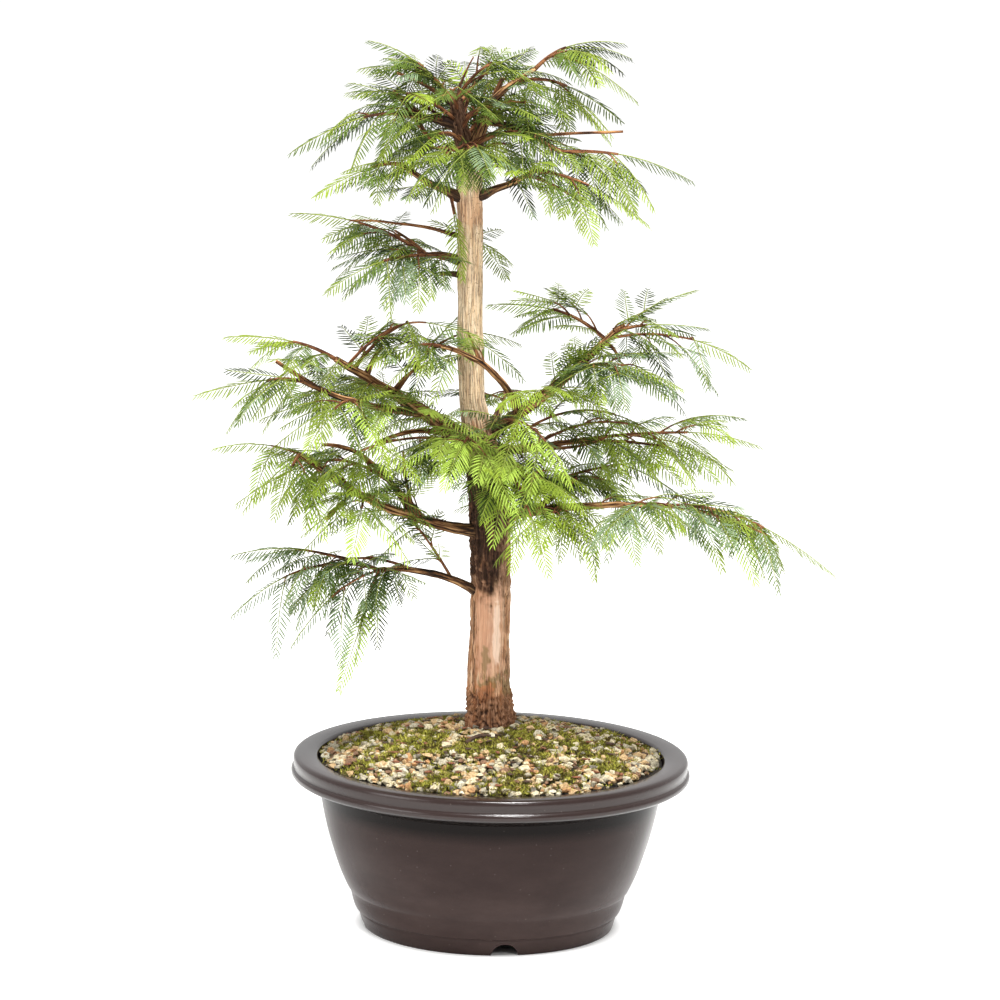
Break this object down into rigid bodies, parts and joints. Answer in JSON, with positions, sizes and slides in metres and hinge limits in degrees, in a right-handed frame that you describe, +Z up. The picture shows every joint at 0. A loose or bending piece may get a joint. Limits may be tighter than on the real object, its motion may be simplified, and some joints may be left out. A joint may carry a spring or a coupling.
{
  "type": "dawn redwood bonsai",
  "caption": "Small conifer with a bare straight trunk, tiered feathery sprays and a rounded top, growing in gravel in a round plastic training pot.",
  "frame": {"origin": "middle of the pot's flat underside, on the ground", "axes": "+Z up along the trunk, -Y to the front of the tree, +X to the right as seen from the front"},
  "size_m": [0.4814, 0.35, 0.69],
  "materials": {
    "pot": "satin dark brown moulded plastic",
    "gravel": "loose mixed gravel with some moss",
    "bark": "peeling fibrous bark",
    "needles": "soft flat needles"
  },
  "bodies": {
    "root": {"pot": "pot", "gravel": "gravel", "trunk": "bark", "bough_low_left": "bark", "bough_left_lower": "bark", "bough_left_main": "bark", "bough_left_outer": "bark", "bough_left_back": "bark", "bough_right_upper": "bark", "bough_crossing": "bark", "bough_right_mid": "bark", "bough_right_low": "bark", "bough_back": "bark", "bough_upper_left": "bark", "bough_crown_left_low": "bark", "bough_crown_right_low": "bark", "bough_crown_left": "bark", "bough_crown_fork": "bark", "bough_crown_right": "bark", "bough_crown_top_right": "bark", "foliage_low_left": "needles", "foliage_low_left_hanging": "needles", "foliage_left_lower": "needles", "foliage_left_lower_front": "needles", "foliage_left_rising": "needles", "foliage_left_main": "needles", "foliage_left_arch": "needles", "foliage_left_outer": "needles", "foliage_left_front": "needles", "foliage_left_inner": "needles", "foliage_left_back": "needles", "foliage_right_arch": "needles", "foliage_right_upper": "needles", "foliage_right_upper_front": "needles", "foliage_right_inner": "needles", "foliage_crossing": "needles", "foliage_right_mid": "needles", "foliage_front": "needles", "foliage_front_right": "needles", "foliage_right_low": "needles", "foliage_right_low_front": "needles", "foliage_right_low_inner": "needles", "foliage_right_rear": "needles", "foliage_back": "needles", "foliage_back_left": "needles", "foliage_upper_left": "needles", "foliage_upper_left_front": "needles", "foliage_upper_left_back": "needles", "foliage_upper_rear": "needles", "foliage_crown_left": "needles", "foliage_crown_left_low": "needles", "foliage_crown_left_high": "needles", "foliage_crown_top_left": "needles", "foliage_crown_top_right": "needles", "foliage_crown_right_rear": "needles", "foliage_crown_right": "needles", "foliage_crown_right_low": "needles", "foliage_crown_front": "needles", "foliage_crown_back": "needles", "foliage_trunk_hanging": "needles"}
  },
  "joints": []
}
